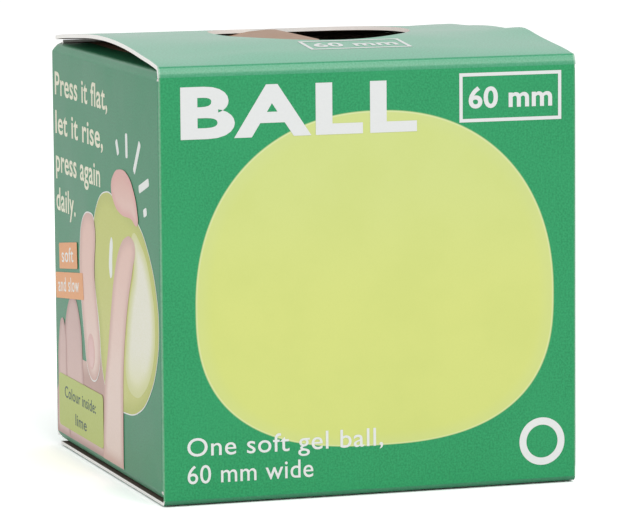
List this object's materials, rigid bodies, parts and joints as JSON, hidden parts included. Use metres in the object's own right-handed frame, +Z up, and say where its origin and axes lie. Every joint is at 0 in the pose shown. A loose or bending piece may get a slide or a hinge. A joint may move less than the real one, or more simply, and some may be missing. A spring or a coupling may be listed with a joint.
{
  "type": "boxed stress ball",
  "caption": "Gel stress ball with a soft skin and filler plug, in a printed paperboard tuck carton with hinged ends and a finger hole in the lid.",
  "frame": {"origin": "bottom centre of the carton, on the surface it stands on", "axes": "+X to the right along the front face, +Y from the front face to the back, +Z up"},
  "size_m": [0.07, 0.067, 0.0725],
  "materials": {
    "printed_front": "satin-varnished green print on white paperboard",
    "printed_side": "satin-varnished green print on white paperboard",
    "printed_lid": "satin-varnished green print that catches the light",
    "bare_board": "matt unprinted board face",
    "ball_skin": "soft satin thermoplastic rubber, slightly see-through",
    "gel": "clear tinted gel",
    "ball_plug": "satin moulded rubber"
  },
  "bodies": {
    "sleeve": {"front_panel": "printed_front", "right_panel": "printed_side", "back_panel": "printed_side", "left_panel": "printed_side", "glue_flap": "bare_board"},
    "lid": {"top_lid": "printed_lid"},
    "lid_tuck": {"top_tuck_flap": "printed_lid"},
    "dust_left": {"top_dust_flap_left": "bare_board"},
    "dust_right": {"top_dust_flap_right": "bare_board"},
    "base_lid": {"bottom_lid": "printed_front"},
    "base_tuck": {"bottom_tuck_flap": "printed_front"},
    "base_dust_left": {"bottom_dust_flap_left": "bare_board"},
    "base_dust_right": {"bottom_dust_flap_right": "bare_board"},
    "ball": {"ball_skin": "ball_skin", "gel_core": "gel"},
    "ball_crown": {"filler_plug": "ball_plug"}
  },
  "joints": [
    {"name": "lid_hinge", "type": "hinge", "parent": "sleeve", "child": "lid", "pos_m": [0, -0.0335, 0.0695], "axis": [1, 0, 0], "range_deg": [0, 200]},
    {"name": "lid_tuck_fold", "type": "hinge", "parent": "lid", "child": "lid_tuck", "pos_m": [0, 0.0326, 0.06966], "axis": [1, 0, 0], "range_deg": [0, 42]},
    {"name": "dust_left_fold", "type": "hinge", "parent": "sleeve", "child": "dust_left", "pos_m": [-0.035, 0, 0.0692], "axis": [0, -1, 0], "range_deg": [0, 105]},
    {"name": "dust_right_fold", "type": "hinge", "parent": "sleeve", "child": "dust_right", "pos_m": [0.035, 0, 0.0692], "axis": [0, 1, 0], "range_deg": [0, 105]},
    {"name": "base_hinge", "type": "hinge", "parent": "sleeve", "child": "base_lid", "pos_m": [0, -0.0335, 0], "axis": [-1, 0, 0], "range_deg": [0, 180]},
    {"name": "base_tuck_fold", "type": "hinge", "parent": "base_lid", "child": "base_tuck", "pos_m": [0, 0.0326, 0], "axis": [-1, 0, 0], "range_deg": [0, 40]},
    {"name": "base_dust_left_fold", "type": "hinge", "parent": "sleeve", "child": "base_dust_left", "pos_m": [-0.035, 0, 0.0011], "axis": [0, 1, 0], "range_deg": [0, 95]},
    {"name": "base_dust_right_fold", "type": "hinge", "parent": "sleeve", "child": "base_dust_right", "pos_m": [0.035, 0, 0.0011], "axis": [0, -1, 0], "range_deg": [0, 95]},
    {"name": "ball_lift", "type": "slide", "parent": "sleeve", "child": "ball", "axis": [0, 0, 1], "range_m": [0, 0.0715]},
    {"name": "ball_squeeze", "type": "slide", "parent": "ball", "child": "ball_crown", "axis": [0, 0, -1], "range_m": [0, 0.012], "stiffness_N_per_m": 300, "deforming": ["ball_skin", "gel_core"]}
  ],
  "couplings": [
    {"joint": "lid_hinge", "follows": "ball_lift", "rad_per_m": 48.8},
    {"joint": "lid_tuck_fold", "follows": "ball_lift", "rad_per_m": 9.76},
    {"joint": "dust_left_fold", "follows": "ball_lift", "rad_per_m": 24.4},
    {"joint": "dust_right_fold", "follows": "ball_lift", "rad_per_m": 24.4},
    {"joint": "base_tuck_fold", "follows": "base_hinge", "ratio": 0.2},
    {"joint": "base_dust_left_fold", "follows": "base_hinge", "ratio": 0.5},
    {"joint": "base_dust_right_fold", "follows": "base_hinge", "ratio": 0.5}
  ]
}
